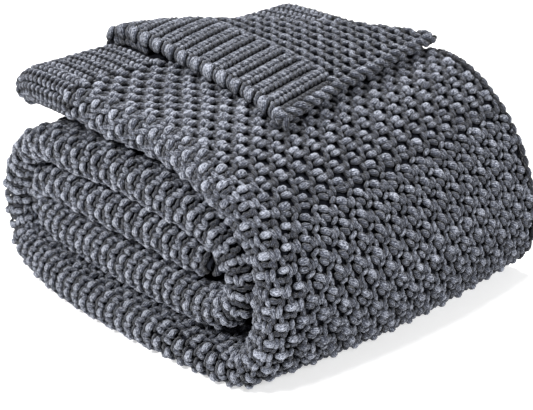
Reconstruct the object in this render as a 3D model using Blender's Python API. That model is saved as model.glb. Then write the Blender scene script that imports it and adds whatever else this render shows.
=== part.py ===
"""Chunky knit blanket, folded in four along its length and rolled up flat.

The folded cloth is one thick band of four layers. Its centre line winds inwards as a flattened
spiral, seen in the Y-Z plane, and the band's width runs along X. The outer layer's corner is
turned over along a diagonal crease on top of the roll.
Metres, +Z up. The origin is the middle of the flat underside.
"""
import math
from collections import namedtuple

import bpy
import bmesh
from mathutils import Matrix, Vector

MM = 0.001

ROLL_WIDTH = 300 * MM      # along X, a quarter of the cloth's width
COLUMNS = 36               # mesh columns across the band's outer face, two for each rib
INNER_COLUMNS = 12         # and across its hidden inner face
NEAR_ARC = 6               # steps around the rounded fold at the near end
FAR_ROUND = 8 * MM         # rounding of the far end's edges
STEPS_SHOWN = 2            # mesh steps for each row of the table on the outer turn
STEPS_HIDDEN = 1           # and on the turns inside
OUTER_PLACES = ("tip", "top", "shoulder", "wall", "bottom", "back")
FRONT_PLACES = ("top", "shoulder", "wall", "bottom")

OUTER_RUN = 340 * MM       # length of the band that makes the roll's upper face and shoulder

RIB_BORDER = 78 * MM       # length of the ribbed border at the cloth's end
RIB_FADE = 6 * MM          # the ribs die out over this distance each way
RIB_HEIGHT = 1.5 * MM      # ribs stand proud and sink by this much
LUMP = 1.2 * MM            # unevenness of the top and the front wall
LUMP_RUN = 180 * MM        # one lump each way along the band
LUMP_ACROSS = 380 * MM     # and one across it
BELLY = 14 * MM            # the front wall swells by this much midway between the ends
BELLY_REACH = 70 * MM      # and less and less from there up to this far from the front

PLY = 8 * MM               # one layer of knitting
CREASE_WIDTH = 24 * MM     # width of the doubled crease where the corner is turned over
CREASE_BOW = 16 * MM       # the crease bows towards the hidden corner
CREASE_SINK = 5 * MM       # the crease runs this deep into the band, to be one with it
CREASE_ROUND = ((8, 5.5), (11, 1))  # millimetres past the crease and above the band, as it turns
CREASE_LEVEL = 14 * MM     # past the crease the band drops by one layer over this distance
FLAP_LIFT = 3 * MM         # air under the turned corner, at its tip
FLAP_LIFT_BACK = 5 * MM    # and near the back end of its ribbed edge
FLAP_ARCH = 2 * MM         # the turned corner is this much higher between its edge and crease
EDGE_ROUND = 2.5 * MM      # its edge is rounded out by this much
FLAP_ROWS = 27             # mesh rows along the turned corner's ribbed edge, two for each rib
FLAP_STEPS = 8             # mesh steps from that edge to the crease

# The centre line of the folded band, from the cloth's outer end on top, round the front wall,
# underneath, up the back and inwards. It changes from the near end of the roll to the far end.
# "near_out" and "far_out" say how far the two ends stand out there. All in millimetres.
Station = namedtuple("Station", "place near_y near_z far_y far_z thick near_out far_out")
PATH = (
    ("tip", 313, 157, 316, 158, 19, 0, 0),
    ("tip", 303, 164, 305, 163, 28, 1, 0),
    ("top", 284, 167, 284, 164, 33, 4, 0),
    ("top", 240, 167, 240, 165, 33, 4, 0),
    ("top", 190, 166, 192, 166, 33, 6, 0),
    ("top", 142, 165, 150, 165, 33, 3, 0),
    ("top", 98, 161, 118, 161, 33, 5, 0),
    ("shoulder", 60, 151, 88, 152, 33, 8, 5),
    ("shoulder", 30, 131, 62, 131, 33, 6, 10),
    ("wall", 12, 106, 42, 102, 33, 5, 14),
    ("wall", 5, 77, 28, 72, 33, 9, 13),
    ("wall", 6, 46, 17, 44, 32, 13, 7),
    ("bottom", 17, 24, 22, 23, 31, 18, 2),
    ("bottom", 40, 15.5, 44, 15.5, 31, 21, 1),
    ("bottom", 88, 15.5, 89, 15.5, 31, 26, 1),
    ("bottom", 140, 15.5, 140, 15.5, 31, 29, 2),
    ("bottom", 190, 15.5, 190, 15.5, 31, 30, 2),
    ("bottom", 240, 15.5, 240, 15.5, 31, 27, 2),
    ("bottom", 284, 15.5, 284, 15.5, 31, 18, 3),
    ("back", 312, 20, 310, 20, 30, 11, 3),
    ("back", 328, 37, 325, 37, 29, 4, 2),
    ("back", 330, 62, 327, 62, 29, 4, 2),
    ("back", 320, 88, 317, 88, 29, 5, 1),
    ("back", 302, 110, 299, 110, 29, 5, 0),
    ("second", 270, 122, 268, 123, 31, 10, 2),
    ("second", 230, 125, 228, 126, 33, 13, 4),
    ("second", 180, 126, 180, 127, 33, 9, 3),
    ("second", 130, 124, 142, 123, 32, 11, 4),
    ("turn", 88, 118, 114, 113, 30, 8, 2),
    ("turn", 56, 107, 88, 97, 29, 7, 2),
    ("turn", 40, 87, 71, 77, 29, 6, 3),
    ("turn", 42, 65, 70, 61, 29, 7, 2),
    ("third", 62, 52, 88, 51, 30, 12, 3),
    ("third", 110, 51, 122, 51, 32, 14, 4),
    ("third", 160, 51.5, 165, 51.5, 33, 15, 5),
    ("third", 215, 52, 215, 52, 33, 13, 3),
    ("third", 258, 54, 254, 54, 31, 11, 4),
    ("loop", 284, 61, 279, 61, 28, 7, 2),
    ("loop", 292, 74, 287, 74, 27, 5, 2),
    ("loop", 280, 85, 275, 85, 28, 6, 2),
    ("core", 250, 88, 248, 88, 30, 8, 3),
    ("core", 200, 88.5, 200, 88.5, 33, 9, 2),
    ("core", 150, 88, 155, 88, 32, 7, 3),
    ("core", 100, 85, 120, 85, 29, 6, 2),
    ("core", 70, 83, 104, 83, 20, 3, 2),
)

# The turned corner, seen from above, in millimetres: the ends of its crease and its own corner.
CREASE_BACK = (103, 322)
CREASE_FAR = (293, 116)
CORNER = (80, 78)


def clear_scene():
    for item in list(bpy.data.objects):
        bpy.data.objects.remove(item, do_unlink=True)


def catmull(before, start, end, after, t):
    """A point on the smooth curve from start to end, at t from 0 to 1."""
    return 0.5 * (2 * start + (end - before) * t
                  + (2 * before - 5 * start + 4 * end - after) * t * t
                  + (3 * start - before - 3 * end + after) * t ** 3)


def smooth(low, high, value):
    t = min(1.0, max(0.0, (value - low) / (high - low)))
    return t * t * (3 - 2 * t)


def path_stations():
    """The table's rows, with smooth rows added between them, in metres."""
    rows = [Station(*row) for row in PATH]
    last = len(rows) - 1
    stations = []
    for index, row in enumerate(rows[:-1]):
        steps = STEPS_SHOWN if row.place in OUTER_PLACES else STEPS_HIDDEN
        around = (rows[max(index - 1, 0)], row, rows[index + 1], rows[min(index + 2, last)])
        for step in range(steps):
            values = [catmull(*four, step / steps) * MM for four in zip(*(r[1:] for r in around))]
            stations.append(Station(row.place, *values))
    stations.append(Station(rows[-1].place, *(value * MM for value in rows[-1][1:])))
    return stations


class Band:
    """The folded band: gives a point of it from the station, the place across and the depth."""

    def __init__(self):
        self.stations = path_stations()
        self.run = [0.0]
        for previous, station in zip(self.stations, self.stations[1:]):
            step = math.hypot(station.near_y - previous.near_y, station.near_z - previous.near_z)
            self.run.append(self.run[-1] + step)

    def centre(self, index, x):
        """Centre line at one station, for a place x across the roll."""
        station = self.stations[min(max(index, 0), len(self.stations) - 1)]
        share = min(1.0, max(0.0, x / ROLL_WIDTH))
        y = station.near_y + (station.far_y - station.near_y) * share
        z = station.near_z + (station.far_z - station.near_z) * share
        if station.place in FRONT_PLACES:
            y -= BELLY * math.sin(math.pi * share) * (1 - smooth(0, BELLY_REACH, y))
        return y, z

    def normal(self, index, x):
        """Unit normal of the centre line, pointing out of the roll."""
        y0, z0 = self.centre(index - 1, x)
        y1, z1 = self.centre(index + 1, x)
        length = math.hypot(y1 - y0, z1 - z0)
        return (z1 - z0) / length, -(y1 - y0) / length

    def point(self, index, x, depth):
        y, z = self.centre(index, x)
        normal_y, normal_z = self.normal(index, x)
        return Vector((x, y + normal_y * depth, max(0.0, z + normal_z * depth)))

    def outer_depth(self, index, x):
        """Half the band's thickness, with the ribs, the lumps and the turned layer taken off."""
        run = self.run[index]
        depth = self.stations[index].thick / 2
        if run > OUTER_RUN:
            return depth
        ribs = 1 - smooth(RIB_BORDER - RIB_FADE, RIB_BORDER + RIB_FADE, run)
        depth += RIB_HEIGHT * ribs * math.cos(math.pi * x / ROLL_WIDTH * COLUMNS)
        lumps = math.sin(math.pi * run / OUTER_RUN) ** 2
        wave = math.tau * (run / LUMP_RUN + x / LUMP_ACROSS)
        depth += LUMP * lumps * math.sin(wave)
        y, z = self.centre(index, x)
        return depth - PLY * smooth(0, CREASE_LEVEL, beyond_crease(x, y))

    def ring(self, index):
        """Closed ring of points around the band at one station."""
        station = self.stations[index]
        half = station.thick / 2
        flat = half - FAR_ROUND
        near = half - station.near_out
        end = ROLL_WIDTH + station.far_out
        far = end - FAR_ROUND
        points = []
        for column in range(COLUMNS + 1):
            x = near + (far - near) * column / COLUMNS
            points.append(self.point(index, x, self.outer_depth(index, x)))
        points += [self.point(index, end, flat), self.point(index, end, -flat)]
        for column in range(INNER_COLUMNS + 1):
            x = far + (near - far) * column / INNER_COLUMNS
            points.append(self.point(index, x, -half))
        for step in range(1, NEAR_ARC):
            angle = math.pi * step / NEAR_ARC
            x = near - half * math.sin(angle)
            points.append(self.point(index, x, -half * math.cos(angle)))
        return points

    def top_height(self, x, y):
        """Height of the roll's upper face at a place seen from above."""
        upper = [i for i, run in enumerate(self.run) if run < OUTER_RUN]
        profile = [self.point(i, x, self.stations[i].thick / 2) for i in upper]
        for start, end in zip(profile, profile[1:]):
            if end.y <= y <= start.y:
                return start.z + (end.z - start.z) * (start.y - y) / (start.y - end.y)
        return profile[0].z if y > profile[0].y else profile[-1].z


def beyond_crease(x, y):
    """Distance past the straight crease line, towards the hidden corner of the roll."""
    back = Vector(CREASE_BACK) * MM
    along = (Vector(CREASE_FAR) * MM - back).normalized()
    return (x - back.x) * -along.y + (y - back.y) * along.x


def loft(bm, rings):
    """Skin a list of closed rings with equal counts, and close both ends."""
    loops = [[bm.verts.new(point) for point in ring] for ring in rings]
    count = len(loops[0])
    for first, second in zip(loops, loops[1:]):
        for index in range(count):
            following = (index + 1) % count
            bm.faces.new((first[index], first[following], second[following], second[index]))
    bm.faces.new(loops[0])
    bm.faces.new(reversed(loops[-1]))
    bmesh.ops.recalc_face_normals(bm, faces=bm.faces)


def add_object(name, rings, material):
    bm = bmesh.new()
    loft(bm, rings)
    mesh = bpy.data.meshes.new(name)
    bm.to_mesh(mesh)
    bm.free()
    mesh.materials.append(material)
    item = bpy.data.objects.new(name, mesh)
    bpy.context.scene.collection.objects.link(item)
    return item


def flap_ring(band, row):
    """Section of the turned corner along one rib, from its ribbed edge to the crease."""
    corner, back, far = (Vector(spot) * MM for spot in (CORNER, CREASE_BACK, CREASE_FAR))
    share = row / FLAP_ROWS
    edge = corner.lerp(back, share)
    line = (far - back).normalized()
    outward = Vector((-line.y, line.x))
    crease = far.lerp(back, share) + outward * CREASE_BOW * math.sin(math.pi * share)
    length = (crease - edge).length
    along = (crease - edge) / length
    lift = FLAP_LIFT + (FLAP_LIFT_BACK - FLAP_LIFT) * share
    ridge = RIB_HEIGHT * math.cos(math.pi * row)
    root = max(length - CREASE_WIDTH, length / 3)

    def place(distance, height):
        spot = edge + along * distance
        return Vector((spot.x, spot.y, band.top_height(spot.x, spot.y) + height))

    points = []
    for step in range(FLAP_STEPS + 1):
        distance = length * step / FLAP_STEPS
        ribs = 1 - smooth(RIB_BORDER - RIB_FADE, RIB_BORDER + RIB_FADE, distance)
        arch = FLAP_ARCH * math.sin(math.pi * step / FLAP_STEPS)
        points.append(place(distance, lift + PLY + arch + ridge * ribs))
    for past, height in CREASE_ROUND:
        points.append(place(length + past * MM, height * MM))
    points.append(place(length + CREASE_SINK, -CREASE_SINK))
    points.append(place(root + CREASE_SINK, -CREASE_SINK))
    for distance in (root, root / 2, 0):
        points.append(place(distance, lift))
    points.append(place(-EDGE_ROUND, lift + PLY / 2))
    return points


def blanket_material():
    material = bpy.data.materials.new("blanket")
    material.use_nodes = True
    shader = material.node_tree.nodes["Principled BSDF"]
    shader.inputs["Base Color"].default_value = (0.15, 0.17, 0.215, 1)
    shader.inputs["Roughness"].default_value = 0.95
    shader.inputs["Metallic"].default_value = 0.0
    return material


def unite(item, other):
    """Join another closed shape into this one, and drop it."""
    union = item.modifiers.new("union", "BOOLEAN")
    union.operation = "UNION"
    union.solver = "EXACT"
    union.object = other
    bpy.context.view_layer.update()
    evaluated = item.evaluated_get(bpy.context.evaluated_depsgraph_get())
    joined = bpy.data.meshes.new_from_object(evaluated)
    item.modifiers.clear()
    item.data = joined
    bpy.data.objects.remove(other, do_unlink=True)


def centre_on_floor(item):
    """Move the mesh so that the origin is the middle of its underside."""
    xs, ys, zs = zip(*(vertex.co for vertex in item.data.vertices))
    middle = Vector(((min(xs) + max(xs)) / 2, (min(ys) + max(ys)) / 2, min(zs)))
    item.data.transform(Matrix.Translation(-middle))


def main():
    clear_scene()
    band = Band()
    material = blanket_material()
    rings = [band.ring(index) for index in range(len(band.stations))]
    blanket = add_object("blanket", rings, material)
    flap = add_object("flap", [flap_ring(band, row) for row in range(FLAP_ROWS)], material)
    unite(blanket, flap)
    centre_on_floor(blanket)


main()
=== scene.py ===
# The chunky knit blanket: cloth, yarn and light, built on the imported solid.
import math
import random

import bpy
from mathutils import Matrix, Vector
from mathutils.bvhtree import BVHTree


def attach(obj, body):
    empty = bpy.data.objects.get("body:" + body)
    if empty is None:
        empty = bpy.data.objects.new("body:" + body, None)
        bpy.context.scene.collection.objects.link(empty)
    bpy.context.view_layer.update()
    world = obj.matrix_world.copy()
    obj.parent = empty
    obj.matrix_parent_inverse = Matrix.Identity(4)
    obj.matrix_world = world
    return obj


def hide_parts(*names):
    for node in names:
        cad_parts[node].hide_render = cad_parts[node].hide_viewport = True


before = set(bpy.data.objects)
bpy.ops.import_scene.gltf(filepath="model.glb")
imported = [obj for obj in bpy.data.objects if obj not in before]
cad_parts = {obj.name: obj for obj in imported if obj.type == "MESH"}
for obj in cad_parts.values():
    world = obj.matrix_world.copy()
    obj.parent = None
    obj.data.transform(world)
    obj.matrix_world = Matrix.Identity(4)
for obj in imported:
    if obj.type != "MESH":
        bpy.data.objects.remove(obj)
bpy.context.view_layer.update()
mm = 0.001
scene = bpy.context.scene
print("frame loaded:", sorted(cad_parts))


roll = {
    "width": 300 * mm,      # a quarter of the cloth's width
    "middle": (142.06, 163.44),  # the part's origin, in the table's millimetres
    "outerRun": 340 * mm,   # length of the roll's upper face and shoulder
    "frontRows": 13,        # rows of the table before the underside
    "belly": 14 * mm,       # how far the wall swells,
    "bellyReach": 70 * mm,  # fading out this far behind the front
    "ribLength": 78 * mm,   # from the outer end to the field
    "ribCount": 18,
    "lump": 1.2 * mm,       # height of the slight lumps of the upper face,
    "lumpRun": 180 * mm,    # and their spacing along the band and across it
    "lumpAcross": 380 * mm,
    "ply": 8 * mm,          # one layer of knitting
    "creaseLevel": 14 * mm,  # width of the step down past the crease
    "fineSteps": 12,        # steps between two rows of the table
    "grid": 2 * mm,         # spacing of the rows that are looked up
    "slopeReach": 4 * mm,   # the slope is read this far to both sides
    "profileStep": 6,       # millimetres between the points of an upper profile
    "profileGrid": 3,       # and between two profiles
}
middleX, middleY = (value * mm for value in roll["middle"])

# Centre line of the folded cloth, from its outer end inwards, in millimetres: y and z at the near
# end, y and z at the far end, thickness, and how far each end stands out.
rollPath = (
    (313, 153, 316, 154, 27, 0, 0), (303, 162, 305, 161, 32, 1, 0), (284, 167, 284, 164, 33, 4, 0),
    (240, 167, 240, 165, 33, 4, 0), (190, 166, 192, 166, 33, 6, 0), (142, 165, 150, 165, 33, 3, 0),
    (98, 161, 118, 161, 33, 5, 0), (60, 151, 88, 152, 33, 8, 5), (30, 131, 62, 131, 33, 6, 10),
    (12, 106, 42, 102, 33, 5, 14), (5, 77, 28, 72, 33, 9, 13), (6, 46, 17, 44, 32, 13, 7),
    (17, 24, 22, 23, 31, 18, 2), (40, 15.5, 44, 15.5, 31, 21, 1), (88, 15.5, 89, 15.5, 31, 26, 1),
    (140, 15.5, 140, 15.5, 31, 29, 2), (190, 15.5, 190, 15.5, 31, 30, 2),
    (240, 15.5, 240, 15.5, 31, 27, 2), (284, 15.5, 284, 15.5, 31, 18, 3),
    (312, 20, 310, 20, 30, 11, 3), (328, 37, 325, 37, 29, 4, 2), (330, 62, 327, 62, 29, 4, 2),
    (320, 88, 317, 88, 29, 5, 1), (302, 110, 299, 110, 29, 5, 0), (270, 122, 268, 123, 31, 10, 2),
    (230, 125, 228, 126, 33, 13, 4), (180, 126, 180, 127, 33, 9, 3), (130, 124, 142, 123, 32, 11, 4),
    (88, 118, 114, 113, 30, 8, 2), (56, 107, 88, 97, 29, 7, 2), (40, 87, 71, 77, 29, 6, 3),
    (42, 65, 70, 61, 29, 7, 2), (62, 52, 88, 51, 30, 12, 3), (110, 51, 122, 51, 32, 14, 4),
    (160, 51.5, 165, 51.5, 33, 15, 5), (215, 52, 215, 52, 33, 13, 3), (258, 54, 254, 54, 31, 11, 4),
    (284, 61, 279, 61, 28, 7, 2), (292, 74, 287, 74, 27, 5, 2), (280, 85, 275, 85, 28, 6, 2),
    (250, 88, 248, 88, 30, 8, 3), (200, 88.5, 200, 88.5, 33, 9, 2), (150, 88, 155, 88, 32, 7, 3),
    (100, 85, 120, 85, 29, 6, 2), (70, 83, 104, 83, 20, 3, 2),
)

# The turned corner seen from above, in the table's millimetres.
corner = {
    "tip": (80, 78),
    "creaseBack": (103, 322),
    "creaseFar": (293, 116),
    "creaseBow": 16 * mm,
    "lift": 3 * mm,      # height over the band at the tip
    "liftBack": 5 * mm,  # and at the back
    "arch": 2 * mm,
    "ribs": 13.5,
    "row": 11.4 * mm,
    "paintedShade": -0.19,       # painted shade: the turned corner's yarn is made a little darker
    "turnRadius": 9.5 * mm,
    "open": 1 * mm,      # how far the crease stands open at its far end
    "openReach": 70 * mm,
    "openFrom": 0.5,     # and between which shares of the way out it opens
    "openTo": 0.9,
    "shortest": 1 * mm,  # least length from the ribbed edge to the crease
    "overEdge": 2 * mm,  # how far past its back end stitches are laid
    "turnOver": 0.95,    # share of the half turn over the crease that has stitches
    "turnAtEnd": 0.15,   # and at the crease's far end
    "turnReach": 26 * mm,
}
cornerTip = Vector(corner["tip"]) * mm
creaseBack = Vector(corner["creaseBack"]) * mm
creaseFar = Vector(corner["creaseFar"]) * mm
creaseLine = (creaseFar - creaseBack).normalized()
creaseOut = Vector((-creaseLine.y, creaseLine.x))
edgeLength = (creaseBack - cornerTip).length


def inside(share):
    return min(1.0, max(0.0, share))


def smooth(low, high, value):
    t = inside((value - low) / (high - low))
    return t * t * (3 - 2 * t)


def between(first, second, share):
    return [a + (b - a) * share for a, b in zip(first, second)]


def catmull(before, start, end, after, t):
    return 0.5 * (2 * start + (end - before) * t
                  + (2 * before - 5 * start + 4 * end - after) * t * t
                  + (3 * start - before - 3 * end + after) * t ** 3)


class Roll:
    # the rolled band: gives a point from the run along it, the place across and the depth

    def __init__(self):
        last = len(rollPath) - 1
        fine = []           # the table with its finer steps, and 1 where the wall swells
        for index in range(last):
            around = [rollPath[i] for i in (max(index - 1, 0), index, index + 1, min(index + 2, last))]
            front = 1.0 if index < roll["frontRows"] else 0.0
            for step in range(roll["fineSteps"]):
                t = step / roll["fineSteps"]
                fine.append([catmull(*four, t) * mm for four in zip(*around)] + [front])
        fine.append([value * mm for value in rollPath[-1]] + [0.0])
        runs = [0.0]
        for a, b in zip(fine, fine[1:]):
            runs.append(runs[-1] + math.hypot(b[0] - a[0], b[1] - a[1]))
        self.length = runs[-1]
        self.lookup = []    # the same rows, evenly spaced along the run
        index = 0
        for step in range(int(self.length / roll["grid"]) + 2):
            run = min(step * roll["grid"], self.length)
            while index < len(runs) - 2 and runs[index + 1] < run:
                index += 1
            share = (run - runs[index]) / (runs[index + 1] - runs[index])
            self.lookup.append(between(fine[index], fine[index + 1], share))
        self.profiles = {}  # of the upper face, by their place across

    def row(self, run):
        place = min(max(run / roll["grid"], 0.0), len(self.lookup) - 1.001)
        index = int(place)
        return between(self.lookup[index], self.lookup[index + 1], place - index)

    def section(self, run):
        # half the thickness, and where the round of the near fold and the far end are across
        thick, nearOut, farOut = self.row(run)[4:7]
        return thick / 2, thick / 2 - nearOut, roll["width"] + farOut

    def centre(self, run, x):
        nearY, nearZ, farY, farZ, *_, front = self.row(run)
        share = inside(x / roll["width"])
        y = nearY + (farY - nearY) * share
        z = nearZ + (farZ - nearZ) * share
        y -= roll["belly"] * math.sin(math.pi * share) * (1 - smooth(0, roll["bellyReach"], y)) * front
        return y, z

    def normal(self, run, x):
        y0, z0 = self.centre(max(run - roll["slopeReach"], 0), x)
        y1, z1 = self.centre(min(run + roll["slopeReach"], self.length), x)
        length = math.hypot(y1 - y0, z1 - z0)
        return (z1 - z0) / length, -(y1 - y0) / length

    def point(self, run, x, depth):
        y, z = self.centre(run, x)
        ny, nz = self.normal(run, x)
        return Vector((x - middleX, y + ny * depth - middleY, z + nz * depth))

    def outerDepth(self, run, x):
        depth = self.section(run)[0]
        if run > roll["outerRun"]:
            return depth
        lumps = math.sin(math.pi * run / roll["outerRun"]) ** 2
        wave = math.sin(math.tau * (run / roll["lumpRun"] + x / roll["lumpAcross"]))
        depth += roll["lump"] * lumps * wave
        y = self.centre(run, x)[0]
        return depth - roll["ply"] * smooth(0, roll["creaseLevel"], beyondCrease(x, y))

    def topHeight(self, x, y):
        # height of the upper face at a place seen from above, in the table's metres
        if x not in self.profiles:
            step = roll["profileStep"]
            runs = [index * step * mm for index in range(int(roll["outerRun"] / (step * mm)))]
            spots = [self.point(run, x, self.section(run)[0]) for run in runs]
            self.profiles[x] = [(spot.y + middleY, spot.z) for spot in spots]
        profile = self.profiles[x]
        for start, end in zip(profile, profile[1:]):
            if end[0] <= y <= start[0]:
                return start[1] + (end[1] - start[1]) * (start[0] - y) / (start[0] - end[0])
        return profile[0][1] if y > profile[0][0] else profile[-1][1]


def beyondCrease(x, y):
    return (x - creaseBack.x) * creaseOut.x + (y - creaseBack.y) * creaseOut.y


band = Roll()

skin = {
    "faceCells": 15,   # cells of two stitches across one face of the band
    "foldCells": 2.5,  # and round its near fold
}
face, fold = skin["faceCells"], skin["foldCells"]


def skinPoint(cell, run, lift):
    # a point of the band's outside: cell 0 is the far edge of the outer face, and the count goes
    # over the near fold to the inner face
    half, near, far = band.section(run)
    if cell <= face:
        x = far + (near - far) * cell / face
        return band.point(run, x, band.outerDepth(run, x) + lift)
    if cell < face + fold:
        angle = math.pi * (cell - face) / fold
        x = near - (half + lift) * math.sin(angle)
        return band.point(run, x, (half + lift) * math.cos(angle))
    x = near + (far - near) * (cell - face - fold) / face
    return band.point(run, x, -half - lift)


def farPoint(angle, run, lift):
    # a point of the fold that joins the two inner layers at the far end: angle 0 faces inwards
    half, _, far = band.section(run)
    radius = half / 2
    x = far - radius + (radius + lift) * math.sin(angle)
    return band.point(run, x, -radius - (radius + lift) * math.cos(angle))


def acrossCorner(share):
    # spots on the ribbed edge and on the crease, at a share of the way from the tip to the back
    bow = creaseOut * corner["creaseBow"] * math.sin(math.pi * inside(share))
    return cornerTip.lerp(creaseBack, share), creaseFar.lerp(creaseBack, share) + bow


def cornerPoint(along, out, lift):
    # a point of the turned corner: along its ribbed edge, and out from it towards the crease
    share = along / edgeLength
    edge, crease = acrossCorner(share)
    length = max((crease - edge).length, corner["shortest"])
    direction = (crease - edge) / length
    reach = out / length
    height = corner["lift"] + (corner["liftBack"] - corner["lift"]) * inside(share) + roll["ply"]
    height += corner["arch"] * math.sin(math.pi * inside(reach))
    height += corner["open"] * creaseFree(along) * smooth(corner["openFrom"], corner["openTo"], reach)
    turnRadius = creaseRadius(along)
    drop = min(max(0.0, out - length) / turnRadius, math.pi)  # angle turned over the crease
    height -= turnRadius * (1 - math.cos(drop))
    spot = edge + direction * (min(out, length) + turnRadius * math.sin(drop))
    grid = roll["profileGrid"]
    top = band.topHeight(round(spot.x / (grid * mm)) * grid * mm, spot.y)
    outwards = Vector((*(direction * math.sin(drop)), math.cos(drop)))
    return Vector((spot.x - middleX, spot.y - middleY, top + height)) + outwards * lift


def creaseFree(along):
    # 1 at the crease's far end, where it stands open, and 0 where it lies pressed
    return 1 - smooth(0, corner["openReach"], along)


def creaseRadius(along):
    return corner["turnRadius"] + corner["open"] / 2 * creaseFree(along)


def creaseLength(along):
    edge, crease = acrossCorner(inside(along / edgeLength))
    return (crease - edge).length


def creaseEnd(along):
    # how far out the stitches go: right over the crease, but only just over it at its far end
    reach = smooth(0, corner["turnReach"], along)
    over = corner["turnAtEnd"] + (corner["turnOver"] - corner["turnAtEnd"]) * reach
    return creaseLength(along) + over * math.pi * creaseRadius(along)


def addItem(name, data):
    item = bpy.data.objects.new(name, data)
    scene.collection.objects.link(item)
    return item


class Value:
    # a number socket that can stand in a Python expression

    def __init__(self, maker, socket):
        self.maker = maker
        self.socket = socket

    def math(self, operation, *others):
        return self.maker.add("ShaderNodeMath", {"operation": operation}, dict(enumerate((self, *others))))

    def __add__(self, other):
        return self.math("ADD", other)

    def __sub__(self, other):
        return self.math("SUBTRACT", other)

    def __rsub__(self, other):
        return self.maker.add("ShaderNodeMath", {"operation": "SUBTRACT"}, {0: other, 1: self})

    def __mul__(self, other):
        return self.math("MULTIPLY", other)

    def __truediv__(self, other):
        return self.math("DIVIDE", other)

    def __pow__(self, other):
        return self.math("POWER", other)

    __radd__ = __add__
    __rmul__ = __mul__


class NodeMaker:
    # adds nodes to one tree

    def __init__(self, tree):
        self.tree = tree

    def feed(self, value, socket):
        if isinstance(value, Value):
            self.tree.links.new(value.socket, socket)
        else:
            socket.default_value = value

    def add(self, kind, settings=None, inputs=None, output=0):
        node = self.tree.nodes.new(kind)
        for name, value in (settings or {}).items():
            if name == "stops":
                ramp = node.color_ramp.elements
                while len(ramp) < len(value):
                    ramp.new(0.5)
                for stop, (place, colour) in zip(ramp, value):
                    stop.position = place
                    stop.color = (*colour, 1)
            else:
                setattr(node, name, value)
        self.fill(node, inputs or {})
        return Value(self, node.outputs[output])

    def fill(self, node, inputs):
        for name, value in inputs.items():
            self.feed(value, node.inputs[name])

    def split(self, vector):
        # the three numbers of a vector
        node = self.add("ShaderNodeSeparateXYZ", None, {0: vector}).socket.node
        return [Value(self, socket) for socket in node.outputs]

    def vector(self, operation, first, second):
        socket = "Scale" if operation == "SCALE" else 1
        return self.add("ShaderNodeVectorMath", {"operation": operation}, {0: first, socket: second})

    def noise(self, vector, scale, detail, roughness):
        return self.add("ShaderNodeTexNoise", None,
                        {"Vector": vector, "Scale": scale, "Detail": detail, "Roughness": roughness})


def newMaterial(name):
    material = bpy.data.materials.new(name)
    material.use_nodes = True
    return material, NodeMaker(material.node_tree), material.node_tree.nodes["Principled BSDF"]


def finish(maker, shader, look, stops, shade, height, roughness):
    colour = maker.add("ShaderNodeValToRGB", {"stops": stops}, {"Fac": shade})
    normal = maker.add("ShaderNodeBump", {"invert": look["bumpDown"]},
                       {"Strength": look["bump"], "Distance": look["bumpDistance"], "Height": height})
    maker.fill(shader, {"Base Color": colour, "Normal": normal, "Roughness": roughness,
                        "Specular IOR Level": look["specular"]})


yarn = {
    "dark": (0.005, 0.006, 0.012),
    "mid": (0.059, 0.067, 0.094),
    "light": (0.475, 0.505, 0.595),
    "midAt": 0.45,      # place of the middle colour between dark and light
    "plies": 10,
    "twist": 1.3,       # radians that the plies turn along a strand
    "fibres": 560.0,    # scales of the fine fibres and the heathered patches
    "patches": 70.0,
    "streaks": 1.6,     # and of the streaks that run along a strand,
    "streakAcross": 9,  # drawn out by how much finer they are across it
    "streakAlong": 3,
    "streakTurn": 0.3,
    "toneTurn": 90,     # the tone turns the plies and shifts the streaks, so that no two
    "toneShift": 37,    # strands are alike
    # how much each of these lightens the yarn, which starts darker; the height and ply terms are painted
    # light and shade, and the tone carries the patterns' painted light and shade
    "toneShade": 0.62,
    "patchShade": 0.25,
    "fibreShade": 1.5,
    "streakShade": 0.9,
    # painted shade in the grooves between the plies
    "plyGrooveShade": 0.07,
    # painted light on the tops of the strands and painted shade on their undersides
    "paintedHeightShade": 0.95,
    "darker": 0.72,
    "plyHeight": 0.35,  # shares of the bump
    "fibreHeight": 0.6,
    "streakHeight": 0.6,
    "bump": 1.0,
    "bumpDown": False,
    "bumpDistance": 1.3 * mm,
    "roughness": 0.90,
    "roughSpread": 0.15,
    "sheen": 0.2,
    "sheenRoughness": 0.5,
    "specular": 0.25,
}


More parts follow.
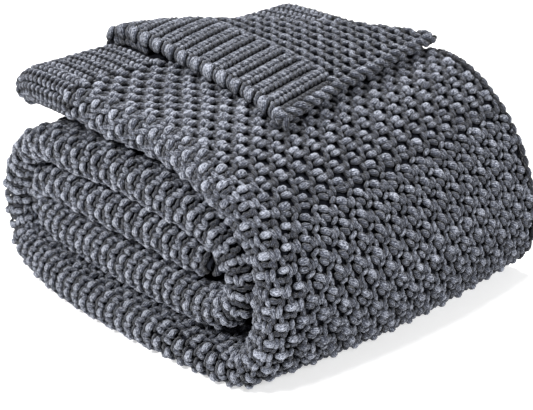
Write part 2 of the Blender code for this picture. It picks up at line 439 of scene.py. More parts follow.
def yarnMaterial(name):
    material, maker, shader = newMaterial(name)
    place = maker.add("ShaderNodeAttribute", {"attribute_name": "strand"}, output=1)
    side, up, along = maker.split(place)
    tone = maker.add("ShaderNodeAttribute", {"attribute_name": "tone"}, output=2)
    angle = up.math("ARCTAN2", side)
    plyAngle = angle * yarn["plies"] + along * (yarn["twist"] * yarn["plies"]) + tone * yarn["toneTurn"]
    plyWave = plyAngle.math("SINE")
    across = yarn["streakAcross"]
    streaks = maker.add("ShaderNodeCombineXYZ", None,
                        {0: side * across + tone * yarn["toneShift"], 1: up * across,
                         2: along * yarn["streakAlong"] + angle * yarn["streakTurn"]})
    streak = maker.noise(streaks, yarn["streaks"], 2.0, 0.6)
    position = maker.add("ShaderNodeTexCoord", output=3)
    fibre = maker.noise(position, yarn["fibres"], 2.0, 0.6)
    patch = maker.noise(position, yarn["patches"], 2.0, 0.5)
    high = up + 0.5    # 0 at the underside of a strand, 1 at its top
    # painted light and shade: the strands lighter at their tops and darker at their undersides and in the
    # grooves between plies
    shade = (tone * yarn["toneShade"] + (patch - 0.5) * yarn["patchShade"]
             + (fibre - 0.5) * yarn["fibreShade"] + (streak - 0.5) * yarn["streakShade"]
             + plyWave * yarn["plyGrooveShade"] + high * yarn["paintedHeightShade"] - yarn["darker"])
    stops = [(0.0, yarn["dark"]), (yarn["midAt"], yarn["mid"]), (1.0, yarn["light"])]
    height = plyWave * yarn["plyHeight"] + fibre * yarn["fibreHeight"] + streak * yarn["streakHeight"]
    rough = yarn["roughness"] - (fibre - 0.5) * yarn["roughSpread"]
    finish(maker, shader, yarn, stops, shade, height, rough)
    maker.fill(shader, {"Sheen Weight": yarn["sheen"], "Sheen Roughness": yarn["sheenRoughness"]})
    return material


# Painted shade: the cloth under the stitches is coloured near black, and darker still where the backs of its
# stitches are sunk, to stand for the shade between the stitches.
shadedCloth = {
    "raised": (0.012, 0.014, 0.020),
    "sunk": (0.003, 0.003, 0.006),
    "knots": 180.0,     # scales of the stitches' backs and of the fibres
    "uneven": 0.8,
    "fibres": 700.0,
    "fibreShade": 0.4,  # how much the fibres count
    "fibreHeight": 0.3,
    "fibreRough": 0.05,
    "bump": 0.9,
    "bumpDown": True,
    "bumpDistance": 2 * mm,
    "roughness": 0.97,
    "specular": 0.15,
}


def clothMaterial(name):
    material, maker, shader = newMaterial(name)
    position = maker.add("ShaderNodeTexCoord", output=3)
    knots = maker.add("ShaderNodeTexVoronoi", {"feature": "F1"},
                      {"Vector": position, "Scale": shadedCloth["knots"], "Randomness": shadedCloth["uneven"]})
    fibre = maker.noise(position, shadedCloth["fibres"], 3.0, 0.5)
    # painted shade: near black, darkest where the stitches' backs are sunk
    stops = [(0.1, shadedCloth["raised"]), (0.8, shadedCloth["sunk"])]
    shade = knots + (fibre - 0.5) * shadedCloth["fibreShade"]
    height = knots + fibre * shadedCloth["fibreHeight"]
    rough = shadedCloth["roughness"] - fibre * shadedCloth["fibreRough"]
    finish(maker, shader, shadedCloth, stops, shade, height, rough)
    return material


yarnLook = yarnMaterial("heather yarn")
clothLook = clothMaterial("inner cloth")
print("materials ready")


cloth = {
    "below": 6 * mm,      # depth of the cloth under the tops of the stitches
    "between": 3.5 * mm,  # from the band's middle to the inner layers
    "inset": 2 * mm,      # of the inner fold from the far end
    "rowStep": 9 * mm,
    "foldSteps": 8,
    "cornerRows": 27,
    "cornerSteps": 24,
    "overCrease": 0.55,   # how much of the turn over the crease it covers
}


def addMesh(name, grids, material):
    points, faces = [], []
    for grid in grids:
        start = len(points)
        width = len(grid[0])
        for row in grid:
            points += [(p.x, p.y, max(p.z, 0.0)) for p in row]
        for r in range(len(grid) - 1):
            for c in range(width - 1):
                a = start + r * width + c
                faces.append((a, a + width, a + width + 1, a + 1))
    mesh = bpy.data.meshes.new(name)
    mesh.from_pydata(points, [], faces)
    mesh.materials.append(material)
    mesh.shade_smooth()
    mesh.update()
    return addItem(name, mesh)


def clothRow(run):
    # one section of the folded cloth, from its outer selvedge through both folds to the inner one
    half, near, far = band.section(run)
    below, steps = cloth["below"], cloth["foldSteps"]
    outer = half - below
    inner = min(cloth["between"], outer * 0.5)
    middle, radius = (outer + inner) / 2, (outer - inner) / 2
    turns = [math.pi * step / steps for step in range(steps + 1)]
    points = [skinPoint(cell * 0.5, run, -below) for cell in range(2 * face)]
    points += [skinPoint(face + fold * step / steps, run, -below) for step in range(steps)]
    points += [skinPoint(face + fold + cell, run, -below) for cell in range(face)]
    points += [band.point(run, far - radius - cloth["inset"] + radius * math.sin(turn),
                          -middle - radius * math.cos(turn)) for turn in turns]
    points += [band.point(run, far + (near - far) * cell / face, -inner) for cell in range(1, face)]
    points += [band.point(run, near - inner * math.sin(turn), -inner * math.cos(turn)) for turn in turns]
    points += [band.point(run, near + (far - near) * cell / face, inner) for cell in range(1, face + 1)]
    return points


def cornerRow(along):
    length = creaseLength(along) + (creaseEnd(along) - creaseLength(along)) * cloth["overCrease"]
    steps = cloth["cornerSteps"]
    return [cornerPoint(along, length * step / steps, -cloth["below"]) for step in range(steps + 1)]


rowCount, cornerRows = int(band.length / cloth["rowStep"]), cloth["cornerRows"]
rollGrid = [clothRow(band.length * row / rowCount) for row in range(rowCount + 1)]
cornerGrid = [cornerRow(edgeLength * row / cornerRows) for row in range(cornerRows + 1)]
sheetPiece = addMesh("blanket_cloth", [rollGrid, cornerGrid], clothLook)
print("cloth:", len(sheetPiece.data.polygons), "faces")


# Strands of one cell of the double moss pattern: two purl bars, one under the other, a gap, and knit
# legs. Millimetres across from the cell's middle, share of the cell's height down, turn from the
# across direction in degrees, length, width, depth of the strand's middle, how far its ends are
# bowed down (1/m), and lighter or darker: painted light on the strands that stand high and painted
# shade on the sunk ones.
mossTop = (
    (0.0, 0.0, 4, 10.2, 6.0, 1.8, 130, 0.3),
    (0.5, 0.21, 4, 9.6, 5.6, 2.3, 100, 0.18),
    (4.9, 0.42, 88, 9.0, 4.4, 3.6, 80, -0.2),
    (-3.3, 0.66, 68, 9.4, 4.0, 3.6, 80, -0.24),
    (-0.4, 0.69, 82, 8.6, 3.8, 4.2, 80, -0.42),
    (2.8, 0.66, 108, 9.4, 4.0, 3.4, 80, -0.2),
)
# the same cell where it hangs: the bars lean, and the lower one is sunk
mossWall = (
    (0.0, 0.0, 6, 10.2, 6.8, 1.8, 150, 0.16),
    (-1.2, 0.2, 8, 9.8, 5.6, 3.2, 80, -0.1),
    (4.9, 0.37, -20, 8.8, 4.2, 3.0, 90, 0.08),
    (-3.7, 0.61, 64, 9.8, 4.3, 3.0, 90, 0.0),
    (-0.7, 0.64, 76, 9.8, 4.2, 3.2, 90, -0.12),
    (2.3, 0.61, 95, 9.8, 4.3, 2.8, 90, 0.05),
    (4.8, 0.79, 78, 9.0, 4.2, 2.7, 90, 0.12),
)
# round the near fold of the wall and close to it: one bar over two sunk ones, and thick legs
mossFold = (
    (0.0, 0.0, 4, 9.6, 6.4, 1.6, 110, 0.36),
    (-2.6, 0.24, 20, 6.2, 5.0, 4.0, 60, -0.42),
    (2.6, 0.26, 160, 6.2, 5.0, 4.0, 60, -0.42),
    (-2.3, 0.56, 80, 10.0, 5.0, 2.8, 70, 0.12),
    (2.3, 0.56, 100, 10.0, 5.0, 2.8, 70, 0.12),
    (4.9, 0.3, 90, 8.0, 4.8, 4.2, 80, -0.42),
    (4.8, 0.8, 80, 9.0, 4.4, 3.0, 90, -0.02),
)
# round the folds of the coils: a bar, two sunk ones, legs and a strand in the gap between coils, with painted
# light on the bar and legs and painted shade on the sunk ones and the one in the gap
mossCoil = (
    (0.0, 0.0, 10, 10.4, 6.2, 1.4, 100, 0.52),
    (-2.4, 0.24, 24, 7.2, 4.6, 3.9, 70, -0.6),
    (2.4, 0.26, 156, 7.2, 4.6, 3.9, 70, -0.6),
    (-2.3, 0.55, 74, 9.6, 4.9, 2.2, 80, 0.28),
    (2.3, 0.55, 106, 9.6, 4.9, 2.2, 80, 0.28),
    (0.4, 0.82, 6, 10.0, 4.2, 4.1, 60, -0.55),
)
# and on the turned corner, which shows the cloth's other face: V stitches over sunk bars
mossBack = (
    (-2.6, 0.0, 42, 10.6, 5.4, 1.7, 120, 0.2),
    (2.6, 0.0, 138, 10.6, 5.4, 1.7, 120, 0.2),
    (0.0, 0.27, 4, 8.0, 4.6, 4.4, 100, -0.5),
    (-2.5, 0.5, 52, 10.4, 5.0, 2.5, 100, 0.02),
    (2.5, 0.5, 128, 10.4, 5.0, 2.5, 100, 0.02),
    (4.9, 0.26, 90, 8.0, 4.2, 4.4, 80, -0.5),
)

stitches = {
    "across": 19.5 * mm,   # width that the cell above is drawn for
    "down": 24 * mm,       # and its height
    # places along the band and the distance between rows of bars there, in millimetres
    "rows": ((100, 11.7), (160, 11.7), (210, 9.6), (260, 10.2), (310, 12.0), (350, 12.8), (385, 9.8),
             (430, 11.4)),
    "hangFrom": 260 * mm,  # between these the stitches change from lying to hanging
    "hangTo": 330 * mm,
    "hangShare": 0.35,     # from this share of the change the cells are the wall's
    "wallFrom": 300 * mm,  # where the pieces of the wall, the coils' folds
    "coilFrom": 400 * mm,  # and the underside begin
    "undersideFrom": 500 * mm,
    "skew": 0.6,           # sideways drift of the rows over the square of the distance
    "skewFrom": 190 * mm,  # between these places along the band
    "skewTo": 500 * mm,
    "slant": 34,           # degrees that the bars turn where the rows hang,
    "slantFade": 3,        # less over this many cells before the fold
    "foldBefore": 0.7,     # cells beside the fold that are laid as on it
    "foldAfter": 0.3,
    "foldPiece": 0.4,      # cells beside the fold that belong to its piece
    "firstHalf": 0.25,     # place of the first cell of a row before the drift
    "firstCell": 0.2,      # nothing closer than this to the far edges
    "overEnd": 10 * mm,    # rows are spaced out to here past the band's end,
    "shortOfEnd": 3 * mm,  # and strands laid to here before it
    "flatten": 0.94,       # a strand is a little lower than it is wide
    "shift": 0.45,         # random shifts, millimetres
    "swing": 6,            # random turns, degrees
    "swell": 0.09,         # random share of the size
    "tone": 0.5,           # middle and spread of the yarn's tone
    "toneSpread": 0.10,
    "leastBend": -20.0,    # limits of a strand's bend with the surface (1/m)
    "mostBend": 60.0,
    "seed": 5,
    "lookFrom": 5 * mm,    # a strand needs a ray that gets away from this far above it
    "farEnough": 0.5,
    "lookRings": ((0.25, 5), (0.6, 8), (0.9, 9)),  # radius and number of rays
    "lookAcross": 0.5,     # a cell is also looked at this many cells to both sides
    "lookDown": 8 * mm,    # and this far up and down
}

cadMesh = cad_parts["blanket"].data
cadTree = BVHTree.FromPolygons([v.co[:] for v in cadMesh.vertices],
                               [p.vertices[:] for p in cadMesh.polygons])
draw = random.Random(stitches["seed"])
rays = []
for ring, count in stitches["lookRings"]:
    for step in range(count):
        turn = math.tau * (step + ring) / count
        rays.append((ring * math.cos(turn), ring * math.sin(turn), math.sqrt(1 - ring * ring)))


def seen(spot, right, down, out):
    # whether anything can be seen of a place on the surface from outside
    start = spot + out * stitches["lookFrom"]
    ways = ((right * a + down * b + out * c).normalized() for a, b, c in rays)
    return any(cadTree.ray_cast(start, way, stitches["farEnough"])[0] is None for way in ways)


def spotFrame(surface, a, b, stepA):
    # point of a surface with its directions across, down and out; stepA turns the first way round
    near = 1 * mm
    here = surface(a, b, 0.0)
    right = (surface(a + stepA * near, b, 0.0) - surface(a - stepA * near, b, 0.0)).normalized()
    down = (surface(a, b + near, 0.0) - surface(a, b - near, 0.0)).normalized()
    out = down.cross(right).normalized()
    return here, right, down, out


class Strands:
    # a list of strands, later one mesh of points

    def __init__(self, paintedShade=0.0):
        self.rows = []
        self.paintedShade = paintedShade

    def add(self, spot, along, out, length, width, bend, tone=0.0):
        # a strand in millimetres, its middle at the spot, its back facing out
        size = 1 + draw.uniform(-1, 1) * stitches["swell"]
        # the yarn's random tone, plus the painted light and shade of the pattern and the turned corner's
        # painted shade
        shade = inside(draw.gauss(stitches["tone"], stitches["toneSpread"]) + tone + self.paintedShade)
        wide = width * mm * size
        sizes = (wide, wide * stitches["flatten"], length * mm * size)
        self.rows.append((spot, along, out, sizes, bend, shade))

    def put(self, surface, a, b, stepA, turn, length, width, deep, bow, tone, lean=0.0, wild=1.0):
        # a strand on a surface; stepA is the change of a that goes one metre across
        a += stepA * draw.uniform(-wild, wild) * stitches["shift"] * mm
        b += draw.uniform(-wild, wild) * stitches["shift"] * mm
        angle = math.radians(turn + draw.uniform(-wild, wild) * stitches["swing"])
        here, right, down, out = spotFrame(surface, a, b, stepA)
        half = length * mm / 2
        reachA, reachB = stepA * math.cos(angle) * half, math.sin(angle) * half
        ahead, behind = surface(a + reachA, b + reachB, 0.0), surface(a - reachA, b - reachB, 0.0)
        along = (ahead - behind).normalized()
        bend = -(ahead + behind - 2 * here).dot(out) / (half * half)
        bend = min(max(bend, stitches["leastBend"]), stitches["mostBend"])
        out = (out - along * out.dot(along)).normalized()
        out = (out + along.cross(out) * lean).normalized()
        self.add(here - out * deep * mm, along, out, length, width, bend + bow, tone)

    def cell(self, surface, a, b, stepA, height, pattern, slant=0.0, limit=math.inf):
        # one cell of the pattern, with its upper bar at a, b, as far as the limit; where a is in
        # metres, stepA is 1 and the cell keeps its width
        wide = abs(1 / stepA) / stitches["across"] if abs(stepA) != 1 else 1.0
        tall = height / stitches["down"]
        wild = 0.5 if pattern in (mossFold, mossCoil) else 1.0
        for across, share, turn, length, width, deep, bow, tone in pattern:
            if b + share * height > limit:
                continue
            isBar = 0 < turn < 45
            size = length * (wide if isBar else tall)
            self.put(surface, a + stepA * across * mm * wide, b + share * height, stepA,
                     turn + slant * isBar, size, width, deep, bow, tone, wild=wild)

    def edge(self, middle, outward, up, tilt, turned, length, width, radius, bow, tone=0.0):
        # a strand over an edge of the cloth: tilt lifts it from the way out towards up, and it lies
        # across the edge, or along it where turned is 90
        up = (up - outward * up.dot(outward) / outward.length_squared).normalized()
        outward = outward.normalized()
        swing = stitches["swing"]
        tilt = math.radians(tilt + draw.uniform(-swing, swing))
        turned = math.radians(turned + draw.uniform(-swing, swing))
        out = outward * math.cos(tilt) + up * math.sin(tilt)
        over = up * math.cos(tilt) - outward * math.sin(tilt)
        along = over * math.cos(turned) + outward.cross(up) * math.sin(turned)
        self.add(middle + out * (radius - width / 2) * mm, along, out, length, width, bow, tone)


strandShape = {"Sides": 8, "Rings": 6, "Fullness": 3.0, "Jitter": 0.06, "Seed": 11}


def strandTree(name, shape, material):
    tree = bpy.data.node_groups.new(name, "GeometryNodeTree")
    tree.is_modifier = True
    sockets = tree.interface
    sockets.new_socket("Geometry", in_out="INPUT", socket_type="NodeSocketGeometry")
    for key, value in shape.items():
        kind = "NodeSocketInt" if isinstance(value, int) else "NodeSocketFloat"
        sockets.new_socket(key, in_out="INPUT", socket_type=kind).default_value = value
    sockets.new_socket("Geometry", in_out="OUTPUT", socket_type="NodeSocketGeometry")
    maker = NodeMaker(tree)
    group = tree.nodes.new("NodeGroupInput")
    given = {socket.name: Value(maker, socket) for socket in group.outputs if socket.name}
    along, out, size, place, bend = (
        maker.add("GeometryNodeInputNamedAttribute", {"data_type": kind}, {"Name": key})
        for key, kind in (("along", "FLOAT_VECTOR"), ("out", "FLOAT_VECTOR"), ("size", "FLOAT_VECTOR"),
                          ("strand", "FLOAT_VECTOR"), ("bend", "FLOAT")))
    position = maker.add("GeometryNodeInputPosition")
    x, y, z = maker.split(position)
    # one strand, fuller than an egg: its sections stay wide until close to both ends
    bean = maker.add("GeometryNodeMeshUVSphere", None,
                     {"Segments": given["Sides"], "Rings": given["Rings"], "Radius": 0.5})
    reach = (z * 2).math("ABSOLUTE").math("MINIMUM", 0.999)
    full = (1 - reach ** given["Fullness"]).math("SQRT") / (1 - reach * reach).math("SQRT")
    shaped = maker.add("ShaderNodeCombineXYZ", None, {0: x * full, 1: y * full, 2: z})
    bean = maker.add("GeometryNodeSetPosition", None, {"Geometry": bean, "Position": shaped})
    bean = maker.add("GeometryNodeStoreNamedAttribute", {"data_type": "FLOAT_VECTOR", "domain": "POINT"},
                     {"Geometry": bean, "Name": "strand", "Value": position})
    # one on each point, along and out as the point says, and a little uneven in size
    turn = maker.add("FunctionNodeAxesToRotation", {"primary_axis": "Z", "secondary_axis": "Y"},
                     {"Primary Axis": along, "Secondary Axis": out})
    uneven = maker.add("FunctionNodeRandomValue", {"data_type": "FLOAT_VECTOR"}, {"Seed": given["Seed"]})
    uneven = maker.vector("SUBTRACT", uneven, (0.5, 0.5, 0.5))
    uneven = maker.vector("ADD", maker.vector("SCALE", uneven, given["Jitter"]), (1.0, 1.0, 1.0))
    placed = maker.add("GeometryNodeInstanceOnPoints", None,
                       {"Points": given["Geometry"], "Instance": bean, "Rotation": turn,
                        "Scale": maker.vector("MULTIPLY", size, uneven)})
    solid = maker.add("GeometryNodeRealizeInstances", None, {"Geometry": placed})
    # each strand bends down with the surface under it
    distance = maker.split(place)[2] * maker.split(size)[2]
    sink = distance * distance * bend * -0.5
    solid = maker.add("GeometryNodeSetPosition", None,
                      {"Geometry": solid, "Offset": maker.vector("SCALE", out, sink)})
    # nothing goes below the floor
    level = maker.add("ShaderNodeCombineXYZ", None, {0: x, 1: y, 2: z.math("MAXIMUM", 0.0)})
    solid = maker.add("GeometryNodeSetPosition", None, {"Geometry": solid, "Position": level})
    solid = maker.add("GeometryNodeSetShadeSmooth", None, {"Geometry": solid})
    solid = maker.add("GeometryNodeSetMaterial", None, {"Geometry": solid, "Material": material})
    result = tree.nodes.new("NodeGroupOutput")
    maker.feed(solid, result.inputs[0])
    return tree


strandNodes = strandTree("strands", strandShape, yarnLook)
strandSockets = {s.name: s.identifier for s in strandNodes.interface.items_tree if s.in_out == "INPUT"}


def growStrands(name, strands, sides, rings):
    spots, *vectors, bends, tonesAndShades = zip(*strands.rows)
    mesh = bpy.data.meshes.new(name + "_points")
    mesh.from_pydata([spot[:] for spot in spots], [], [])
    for key, column in zip(("along", "out", "size"), vectors):
        layer = mesh.attributes.new(key, "FLOAT_VECTOR", "POINT")
        layer.data.foreach_set("vector", [value for vector in column for value in vector])
    for key, column in (("bend", bends), ("tone", tonesAndShades)):
        mesh.attributes.new(key, "FLOAT", "POINT").data.foreach_set("value", column)
    item = addItem(name, mesh)
    modifier = item.modifiers.new("strands", "NODES")
    modifier.node_group = strandNodes
    modifier[strandSockets["Sides"]] = sides
    modifier[strandSockets["Rings"]] = rings
    evaluated = item.evaluated_get(bpy.context.evaluated_depsgraph_get())
    grown = bpy.data.meshes.new_from_object(evaluated)
    item.modifiers.clear()
    item.data = grown
    grown.name = name
    triangles = sum(len(polygon.vertices) - 2 for polygon in grown.polygons)
    print(name, len(strands.rows), "strands,", triangles, "triangles")
    return item


def acrossStep(run):
    # change of the cell count for a metre towards the far end
    _, near, far = band.section(run)
    return -face / (far - near)


def foldStep(run):
    # and round the near fold
    return -fold / (math.pi * band.section(run)[0])


def visibleCell(surface, a, b, stepA):
    across, down = stitches["lookAcross"], stitches["lookDown"]
    spots = ((a, b), (a + across, b), (a - across, b), (a, b + down), (a, b - down))
    return any(seen(*spotFrame(surface, *spot, stepA)) for spot in spots)


def rowPitch(run):
    marks = stitches["rows"]
    place = min(max(run / mm, marks[0][0]), marks[-1][0])
    for (start, first), (end, second) in zip(marks, marks[1:]):
        if place <= end:
            return (first + (second - first) * max(0.0, place - start) / (end - start)) * mm


rows = [roll["ribLength"]]
while rows[-1] < band.length + stitches["overEnd"]:
    rows.append(rows[-1] + rowPitch(rows[-1]))
fieldEnd = band.length - stitches["shortOfEnd"]
print(len(rows), "rows of bars")

areas = {name: Strands() for name in ("top", "wall", "underside", "nearFolds", "coilFolds", "farEnd", "ribs")}
# the turned corner's stitches carry its painted shade
areas["turnedCorner"] = Strands(corner["paintedShade"])


def areaFor(cell, run):
    if cell > face - stitches["foldPiece"]:
        return areas["coilFolds"] if run > stitches["coilFrom"] else areas["nearFolds"]
    if run < stitches["wallFrom"]:
        return areas["top"]
    return areas["wall"] if run < stitches["undersideFrom"] else areas["underside"]


def patternFor(cell, run, hang):
    onFold = face < cell < face + fold
    besideFold = face - stitches["foldBefore"] < cell < face + fold + stitches["foldAfter"]
    if onFold and run > stitches["coilFrom"]:
        return mossCoil
    if onFold or besideFold and run > stitches["hangFrom"]:
        return mossFold
    return mossWall if hang > stitches["hangShare"] else mossTop


# bars stand over the gaps of the row above, so each row takes every second half cell
lastCell = 2 * face + fold
for index, run in enumerate(rows[:-2]):
    height = rows[index + 2] - run
    middle = min(run + height / 3, fieldEnd)
    skewed = min(run, stitches["skewTo"]) - stitches["skewFrom"]
    drift = stitches["skew"] * skewed ** 2 / stitches["across"]
    hang = smooth(stitches["hangFrom"], stitches["hangTo"], run)
    for count in range(2 * int(lastCell + 3)):
        cell = 0.5 * count + stitches["firstHalf"] - drift
        if (count + index) % 2 or not stitches["firstCell"] < cell < lastCell - stitches["firstCell"]:
            continue
        stepA = foldStep(middle) if face < cell < face + fold else acrossStep(middle)
        if visibleCell(skinPoint, cell, middle, stepA):
            slant = stitches["slant"] * hang * (1 - smooth(face - stitches["slantFade"], face, cell))
            areaFor(cell, middle).cell(skinPoint, cell, run, stepA, height,
                                       patternFor(cell, run, hang), slant, fieldEnd)
print("field laid out")

# Strands of one stitch of a rib: millimetres across from the rib's crest, turn, length, width, depth,
# lean, and lighter or darker: painted light on the strands of the crest and painted shade on the deep
# ones between the ribs.
ribStitch = (
    (-3.1, 40, 8.0, 4.5, 1.9, -0.5, 0.2),
    (3.0, 142, 8.2, 4.5, 1.8, 0.45, 0.24),
    (6.7, 138, 7.2, 4.0, 5.8, 0.7, -0.45),
    (-6.7, 44, 7.0, 4.0, 5.8, -0.7, -0.5),
    (9.1, 4, 7.0, 4.8, 7.0, 0.0, -0.6),
)
ribs = {
    "stitch": 5.7 * mm,
    "bow": 110,
    "start": 2 * mm,        # from the outer end of the band
    "acrossAt": 40 * mm,    # where the spacing of the ribs is read
    "foldAt": 50 * mm,      # and of those round the fold
    "foldCount": 4,
    "foldPitch": 3.6,       # ribs to the half turn of the fold
    "foldFirst": 0.3,       # the first one's share of that
    "cornerStart": 3 * mm,  # from the turned corner's edge
    "cornerOver": 2 * mm,   # how far they run into the field there
}


def layRib(strands, surface, a, stepA, start, end, check=True, keepFrom=-20):
    # one rib; keepFrom leaves out the strands that lie less far across
    count = max(1, round((end - start) / ribs["stitch"]))
    for index in range(count):
        b = start + (end - start) * (index + 0.5) / count
        if check and not seen(*spotFrame(surface, a, b, stepA)):
            continue
        for across, turn, length, width, deep, lean, tone in ribStitch:
            if across >= keepFrom:
                strands.put(surface, a + stepA * across * mm, b, stepA, turn, length, width, deep,
                            ribs["bow"], tone, lean, wild=0.5)


for rib in range(roll["ribCount"]):
    cell = (rib + 0.5) * (face / roll["ribCount"])
    layRib(areas["ribs"], skinPoint, cell, acrossStep(ribs["acrossAt"]), ribs["start"], roll["ribLength"])
for rib in range(ribs["foldCount"]):
    cell = face + fold * (rib + ribs["foldFirst"]) / ribs["foldPitch"]
    layRib(areas["ribs"], skinPoint, cell, foldStep(ribs["foldAt"]), ribs["start"], roll["ribLength"])

# the turned corner: ribs from its edge, then the field as far as the crease
ribPitch = edgeLength / corner["ribs"]
for rib in range(int(corner["ribs"]) + 1):
    along = rib * ribPitch
    limit = min(roll["ribLength"] + ribs["cornerOver"], creaseEnd(along))
    # beside the selvedge only the far side of the first rib is there
    layRib(areas["turnedCorner"], cornerPoint, along, 1.0, ribs["cornerStart"], limit, False,
           -20 if rib else 5)
row = 0
out = roll["ribLength"]
while out < creaseEnd(0.0):
    for column in range(int(2 * edgeLength / stitches["across"]) + 1):
        along = (column + 0.5) * stitches["across"] / 2
        onCorner = along < edgeLength + corner["overEdge"] and out < creaseEnd(along)
        if onCorner and (column + row) % 2 == 0:
            areas["turnedCorner"].cell(cornerPoint, along, out, 1.0, 2 * corner["row"], mossBack)
    out += corner["row"]
    row += 1
print("corner laid out")

edges = {
    "ply": 4.2 * mm,        # half of one layer's thickness
    "usualHalf": 16.5 * mm,  # half the band's usual thickness
    "castOnIn": 3 * mm,     # from the ribbed edge to the middle of its loops
    "castOnShift": 0.5 * mm,  # all are shifted, and a rib's two moved together
    "castOnPair": 1.2 * mm,
    "underReach": 60 * mm,  # length of the lower layer's edge that shows,
    "underIn": 2 * mm,      # further in than the upper one
    "chainStep": 12 * mm,   # between two ovals of the turned corner's selvedge
    "chainIn": 1 * mm,
    "plaitStep": 8 * mm,    # between two slanting strands of the far selvedges
    "plaitIn": 3 * mm,
    "plaitFrom": 3 * mm,    # how close they come to the band's outer and inner end
    "plaitTo": 6 * mm,
    "plaitLook": 4 * mm,    # they are looked for this far outside
    "plaitTilt": 12,        # the two selvedges lean apart, and so do the loops of the ends
    "endTilt": 18,
    "endOut": 2 * mm,
    "endStep": 7 * mm,      # between two loops of the ends
}
# Strands over an edge: tilt and turn in degrees, length, width, how far out their backs are from the
# middle of the edge, how far their ends are bowed down (1/m), and lighter or darker: painted light on
# the loops that stand out and painted shade on the sunk, lower and hidden ones.
castOnSunk = ((30, 6, 13.0, 5.2, 3.4, 150, -0.30),)
castOnRib = ((46, 10, 15.0, 6.4, 6.8, 170, 0.20), (-22, -8, 11.0, 5.8, 4.8, 150, -0.20))
castOnUnder = ((20, 8, 12.0, 6.2, 5.4, 150, -0.15), (-35, 8, 10.0, 5.8, 5.4, 150, -0.25))
plait = ((20, 62, 12.0, 6.2, 5.4, 80), (-25, 118, 12.0, 6.0, 5.2, 80))
endLoop = (8, 11.5, 6.6, 5.4, 120)  # without its tilt
# and for the corner's chain, after their place as a share of a step
chainOvals = (
    (0.2, 66, 66, 12.4, 6.0, 7.6, 200, 0.26),
    (0.7, 10, 66, 12.0, 5.8, 7.2, 200, 0.1),
    (0.2, -44, 66, 11.0, 5.6, 6.2, 200, -0.35),
)


def cornerSpot(along, out):
    # middle of the turned corner's thickness, with the ways along and out
    near = 2 * mm
    here = cornerPoint(along, out, 0.0)
    ahead = (cornerPoint(along + near, out, 0.0) - here).normalized()
    outward = (cornerPoint(along, out + near, 0.0) - here).normalized()
    return here - Vector((0, 0, edges["ply"])), ahead, outward


def layCastOn():
    # loops over the turned corner's ribbed edge: two at each rib's end and a sunk one between ribs,
    # and near the crease the edge of the layer below
    loops = Strands()
    up = Vector((0, 0, 1))
    pair = edges["castOnPair"]
    for index in range(int(corner["ribs"] * 3) + 2):
        along = (index - 1) * ribPitch / 3 + (0, pair, -pair)[index % 3] + edges["castOnShift"]
        middle, _, outward = cornerSpot(along, edges["castOnIn"])
        for strand in castOnRib if index % 3 else castOnSunk:
            loops.edge(middle, -outward, up, *strand)
        if along > edgeLength - edges["underReach"]:
            under = middle - up * 2 * edges["ply"] + outward * edges["underIn"]
            for strand in castOnUnder:
                loops.edge(under, -outward, up, *strand)
    return loops


def layCornerSelvedge():
    # large ovals along the turned corner's front edge, two rows and a hidden third
    chain = Strands(corner["paintedShade"])
    step = edges["chainStep"]
    for index in range(int((creaseLength(0.0) + 2 * mm) / step)):
        for place, *strand in chainOvals:
            middle, ahead, outward = cornerSpot(edges["chainIn"], (index + place) * step)
            up = outward.cross(ahead)
            chain.edge(middle, -ahead, up, *strand)
    return chain


def layFarEnd():
    # the two selvedges and the fold that make the far end of the band
    chain = Strands()
    outward = Vector((1, 0, 0))
    run = edges["plaitFrom"]
    while run < band.length - edges["plaitTo"]:
        half, _, far = band.section(run)
        ny, nz = band.normal(run, roll["width"])
        up = Vector((0, ny, nz))
        outer = band.outerDepth(run, roll["width"]) - edges["ply"]
        inner = edges["ply"] * half / edges["usualHalf"]
        for depth, lean in ((outer, edges["plaitTilt"]), (inner, -edges["plaitTilt"])):
            middle = band.point(run, far - edges["plaitIn"], depth)
            if seen(middle + outward * edges["plaitLook"], Vector((0, -nz, ny)), up, outward):
                for tilt, *strand in plait:
                    chain.edge(middle, outward, up, lean + tilt, *strand)
        run += edges["plaitStep"]
    for index, run in enumerate(rows[:-2]):
        stepA = -2 / band.section(run)[0]
        angle = (0.25, 0.75)[index % 2] * math.pi
        if run < fieldEnd and seen(*spotFrame(farPoint, math.pi / 2, run, stepA)):
            chain.cell(farPoint, angle, run, stepA, rows[index + 2] - run, mossFold, 0.0, fieldEnd)
    return chain


def layEnd(run, way):
    # loops over the layers at one end of the band; way is 1 at the outer end and -1 at the inner one
    loops = Strands()
    half, _, far = band.section(run)
    for index in range(int(far / edges["endStep"]) - 1):
        x = (index + 1.5) * edges["endStep"]
        ny, nz = band.normal(run, x)
        up, outward = Vector((0, ny, nz)), Vector((0, nz, -ny)) * way
        upper = band.outerDepth(run, x) - edges["ply"] if way > 0 else half / 2
        for depth, tilt in ((upper, edges["endTilt"]), (-half / 2, -edges["endTilt"])):
            middle = band.point(run + way * edges["endOut"], x, depth)
            loops.edge(middle, outward, up, tilt, *endLoop)
    return loops


areas["castOn"] = layCastOn()
areas["cornerSelvedge"] = layCornerSelvedge()
areas["farEnd"] = layFarEnd()
areas["tipEnd"] = layEnd(0.0, 1)
areas["innerEnd"] = layEnd(band.length, -1)
print("edges laid out")

# sides and rings of the strands that are seen less
plainer = {"underside": (6, 4), "farEnd": (6, 5), "coilFolds": (6, 5)}
full = (strandShape["Sides"], strandShape["Rings"])
pieces = [growStrands("stitches_" + name, strands, *plainer.get(name, full))
          for name, strands in areas.items()]


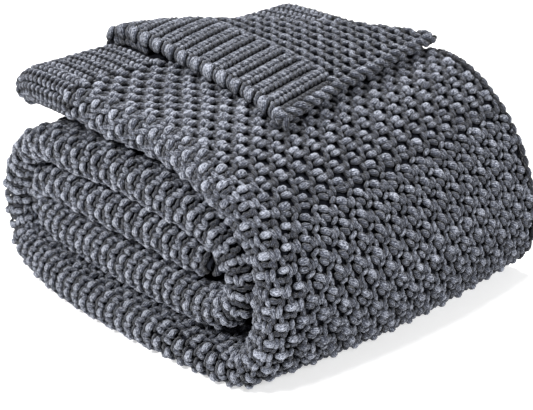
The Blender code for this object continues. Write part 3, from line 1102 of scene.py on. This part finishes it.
studio = {
    "azimuth": -42.6,
    "elevation": 24.85,
    "distance": 1.2,
    "lens": 112.95,
    "target": (-129.77, -144.43, 149.8),  # millimetres
    "world": 0.255,
    "aim": (0, 0, 0.1),
    # place, size and power of each lamp
    "lamps": {"key": ((0.35, 0.75, 1.6), 0.5, 39.5),
              "left": ((-1.3, -0.2, 1.3), 0.4, 35),
              "front": ((0.5, -1.6, 1.0), 0.5, 21)},
    "floorReach": 6.0,
    "floor": (0.75, 0.75, 0.75, 1),
    "floorRoughness": 0.8,
    "floorGlow": 0.50,  # the studio floor is overexposed
}


def addCamera():
    target = Vector(studio["target"]) * mm
    azimuth, elevation = math.radians(studio["azimuth"]), math.radians(studio["elevation"])
    back = Vector((math.sin(azimuth) * math.cos(elevation), -math.cos(azimuth) * math.cos(elevation),
                   math.sin(elevation)))
    data = bpy.data.cameras.new("camera")
    data.sensor_fit = "HORIZONTAL"
    data.sensor_width = 36
    data.lens = studio["lens"]
    data.clip_start = 0.01
    camera = addItem("camera", data)
    camera.location = target + back * studio["distance"]
    camera.rotation_euler = back.to_track_quat("Z", "Y").to_euler()
    scene.camera = camera


def addLamp(name, place, size, power):
    data = bpy.data.lights.new(name, "AREA")
    data.energy = power
    data.size = size
    lamp = addItem(name, data)
    lamp.location = place
    lamp.rotation_euler = (Vector(place) - Vector(studio["aim"])).to_track_quat("Z", "Y").to_euler()


def addFloor():
    material, maker, shader = newMaterial("pale floor")
    maker.fill(shader, {"Base Color": studio["floor"], "Roughness": studio["floorRoughness"],
                        "Emission Color": (1, 1, 1, 1), "Emission Strength": studio["floorGlow"]})
    reach = studio["floorReach"]
    points = [(-reach, -reach, 0), (reach, -reach, 0), (reach, reach, 0), (-reach, reach, 0)]
    mesh = bpy.data.meshes.new("floor")
    mesh.from_pydata(points, [], [(0, 1, 2, 3)])
    mesh.materials.append(material)
    floor = addItem("floor", mesh)


def addWorld():
    world = bpy.data.worlds.new("surroundings")
    world.use_nodes = True
    background = world.node_tree.nodes["Background"].inputs
    background["Color"].default_value = (1, 1, 1, 1)
    background["Strength"].default_value = studio["world"]
    scene.world = world


addWorld()
scene.view_settings.view_transform = "Standard"
addCamera()
addFloor()
for name, (place, size, power) in studio["lamps"].items():
    addLamp(name, place, size, power)
print("camera, floor and lamps ready")

for piece in [sheetPiece, *pieces]:
    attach(piece, "root")
    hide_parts("blanket")
